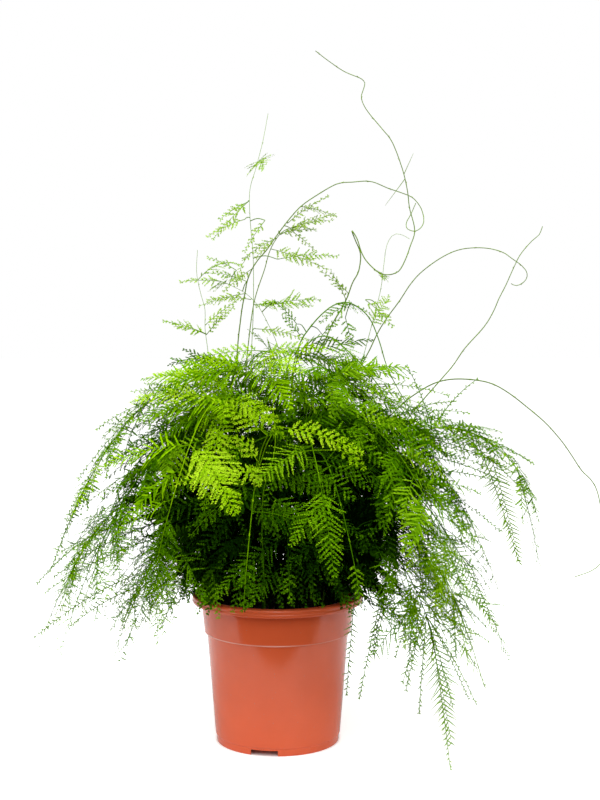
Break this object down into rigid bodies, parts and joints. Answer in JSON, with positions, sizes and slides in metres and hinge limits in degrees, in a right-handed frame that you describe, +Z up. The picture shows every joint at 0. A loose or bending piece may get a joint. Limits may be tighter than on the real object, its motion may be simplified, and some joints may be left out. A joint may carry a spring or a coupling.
{
  "type": "potted asparagus fern",
  "caption": "Bushy asparagus fern with feathery arching fronds and long bare climbing stems, standing in a tapered plastic nursery pot.",
  "frame": {"origin": "centre of the flat underside of the pot, on the surface that it stands on", "axes": "+Z up, -Y towards the front of the plant, +X to its right as seen from the front"},
  "size_m": [0.5576, 0.425, 0.677],
  "materials": {
    "pot_plastic": "semi-gloss moulded plastic",
    "potting_mix": "matt, crumbly",
    "young_foliage": "soft satin",
    "foliage": "soft satin",
    "dark_foliage": "soft satin",
    "pale_foliage": "soft satin",
    "climber": "smooth green stem"
  },
  "bodies": {
    "root": {"arching_stem_high": "foliage", "arching_stem_left": "pale_foliage", "arching_stem_low": "foliage", "climbing_stem_looped": "climber", "climbing_stem_outer": "climber", "climbing_stem_right": "climber", "climbing_stem_short": "climber", "climbing_stem_side": "climber", "climbing_stem_tall": "climber", "crown_stem_1": "foliage", "crown_stem_2": "foliage", "crown_stem_3": "foliage", "crown_stem_4": "young_foliage", "crown_stem_5": "young_foliage", "crown_stem_6": "foliage", "hanging_stem_front": "foliage", "hanging_stem_right": "foliage", "lower_stem_1": "dark_foliage", "lower_stem_2": "dark_foliage", "lower_stem_3": "dark_foliage", "lower_stem_4": "dark_foliage", "lower_stem_5": "dark_foliage", "lower_stem_6": "dark_foliage", "lower_stem_7": "dark_foliage", "lower_stem_8": "dark_foliage", "middle_stem_1": "foliage", "middle_stem_2": "foliage", "middle_stem_3": "foliage", "middle_stem_4": "foliage", "middle_stem_5": "foliage", "middle_stem_6": "young_foliage", "middle_stem_7": "foliage", "middle_stem_8": "foliage", "pot": "pot_plastic", "skirt_stem_1": "dark_foliage", "skirt_stem_2": "dark_foliage", "skirt_stem_3": "dark_foliage", "skirt_stem_4": "dark_foliage", "skirt_stem_5": "dark_foliage", "skirt_stem_6": "dark_foliage", "skirt_stem_7": "dark_foliage", "soil": "potting_mix", "trailing_stem_left": "foliage", "trailing_stem_right": "foliage", "upper_stem_1": "foliage", "upper_stem_2": "foliage", "upper_stem_3": "foliage", "upper_stem_4": "foliage", "upper_stem_5": "foliage", "upper_stem_6": "young_foliage", "upper_stem_7": "foliage", "upper_stem_8": "foliage", "upright_stem_far_left": "pale_foliage", "upright_stem_left": "pale_foliage", "upright_stem_right": "pale_foliage"}
  },
  "joints": []
}
